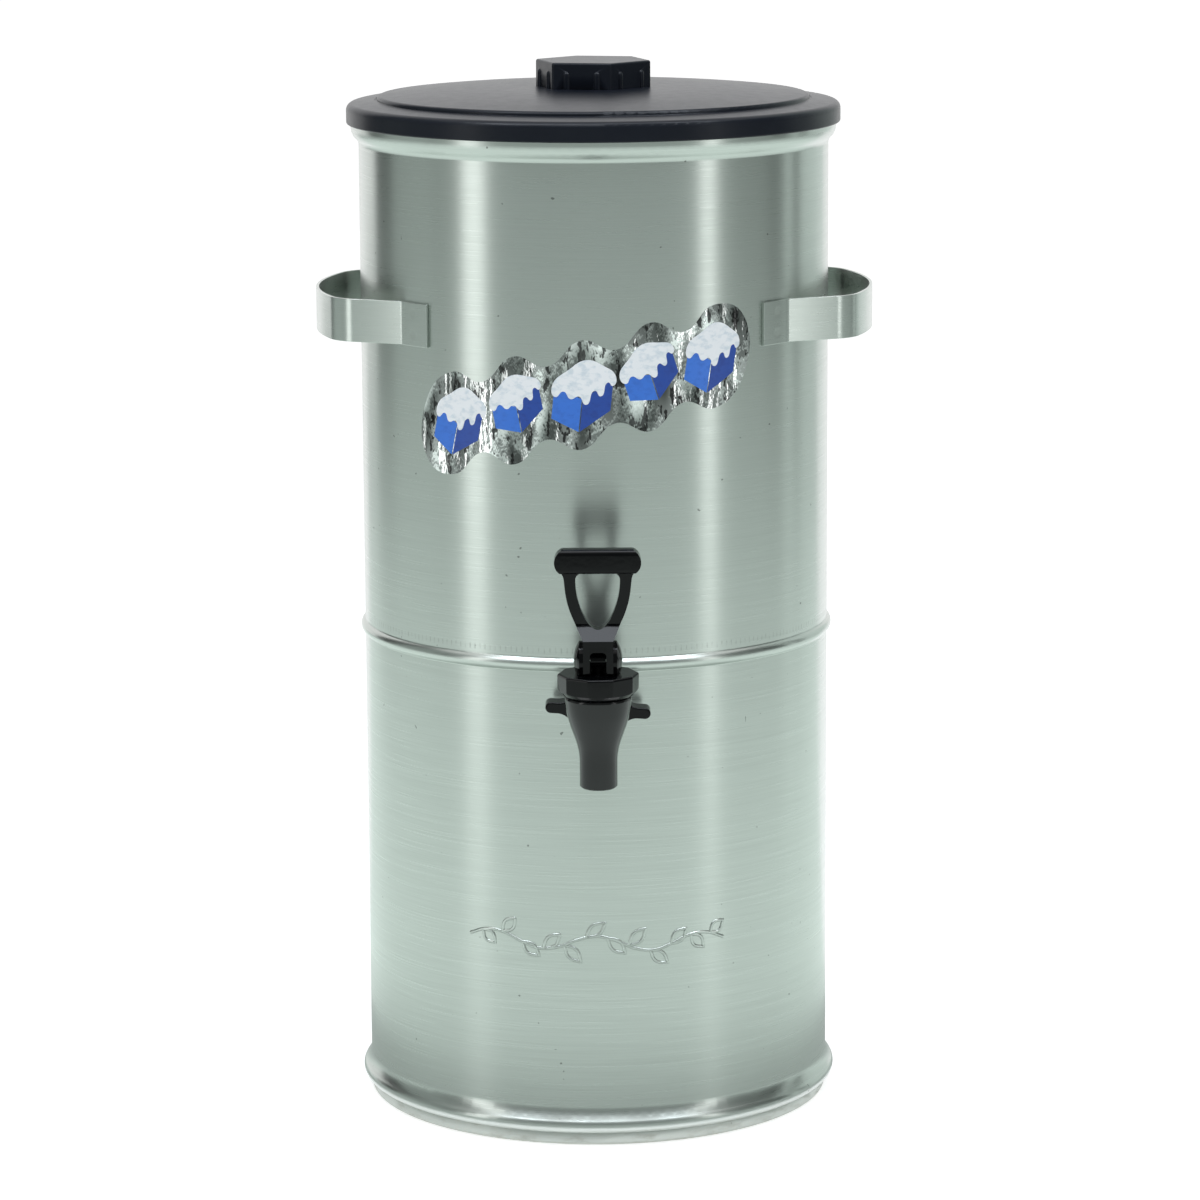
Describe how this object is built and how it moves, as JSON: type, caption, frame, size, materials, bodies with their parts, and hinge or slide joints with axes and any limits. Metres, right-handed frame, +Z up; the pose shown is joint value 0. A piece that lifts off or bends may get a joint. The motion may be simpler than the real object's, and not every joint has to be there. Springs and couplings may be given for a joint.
{
  "type": "iced tea dispenser",
  "caption": "Tall round steel drink dispenser with a lift-off black lid, strap handles and a self-closing lever tap.",
  "frame": {"origin": "centre of the foot ring's underside, on the container's axis, at the level it stands on", "axes": "+Z up along the container's axis, -Y towards the tap and the user, +X to the user's right"},
  "size_m": [0.272, 0.2927, 0.5129],
  "materials": {
    "container_steel": "fine horizontal brushing",
    "handle_steel": "brushed along the strap",
    "screw_steel": "plain machined",
    "stem_steel": "drawn wire and ring stock",
    "lid_plastic": "satin",
    "tap_plastic": "moulded gloss",
    "seal_silicone": "soft matt",
    "gasket_rubber": "matt"
  },
  "bodies": {
    "container": {"base_skirt": "container_steel", "foot_ring": "container_steel", "bottom_pan": "container_steel", "tank_wall": "container_steel", "right_handle": "handle_steel", "left_handle": "handle_steel", "tap_shank": "tap_plastic", "outer_gasket": "gasket_rubber", "inner_gasket": "gasket_rubber", "shank_washer": "screw_steel", "shank_nut": "screw_steel", "tail_washer": "gasket_rubber", "tap_body": "tap_plastic", "tail_ring": "stem_steel", "bonnet": "tap_plastic", "seat_cup": "seal_silicone", "stem_spring": "stem_steel"},
    "cover": {"lid": "lid_plastic", "lid_knob": "lid_plastic", "knob_screw": "screw_steel"},
    "stem": {"valve_stem": "tap_plastic"},
    "lever": {"lever": "tap_plastic", "lever_pin": "stem_steel"},
    "wing_nut": {"wing_nut": "tap_plastic"}
  },
  "joints": [
    {"name": "lid_lift", "type": "slide", "parent": "container", "child": "cover", "axis": [0, 0, 1], "range_m": [0, 0.26]},
    {"name": "stem_lift", "type": "slide", "parent": "container", "child": "stem", "axis": [0, 0, 1], "range_m": [0, 0.00317], "stiffness_N_per_m": 300, "springref_m": -0.008, "deforming": ["stem_spring", "seat_cup"]},
    {"name": "lever_pull", "type": "hinge", "parent": "stem", "child": "lever", "pos_m": [0, -0.1543, 0.247], "axis": [1, 0, 0], "range_deg": [0, 28]},
    {"name": "wing_nut_turn", "type": "hinge", "parent": "container", "child": "wing_nut", "pos_m": [0, -0.126, 0.218], "axis": [0, 1, 0], "continuous": true}
  ],
  "couplings": [
    {"joint": "lever_pull", "follows": "stem_lift", "rad_per_m": 153.85}
  ]
}
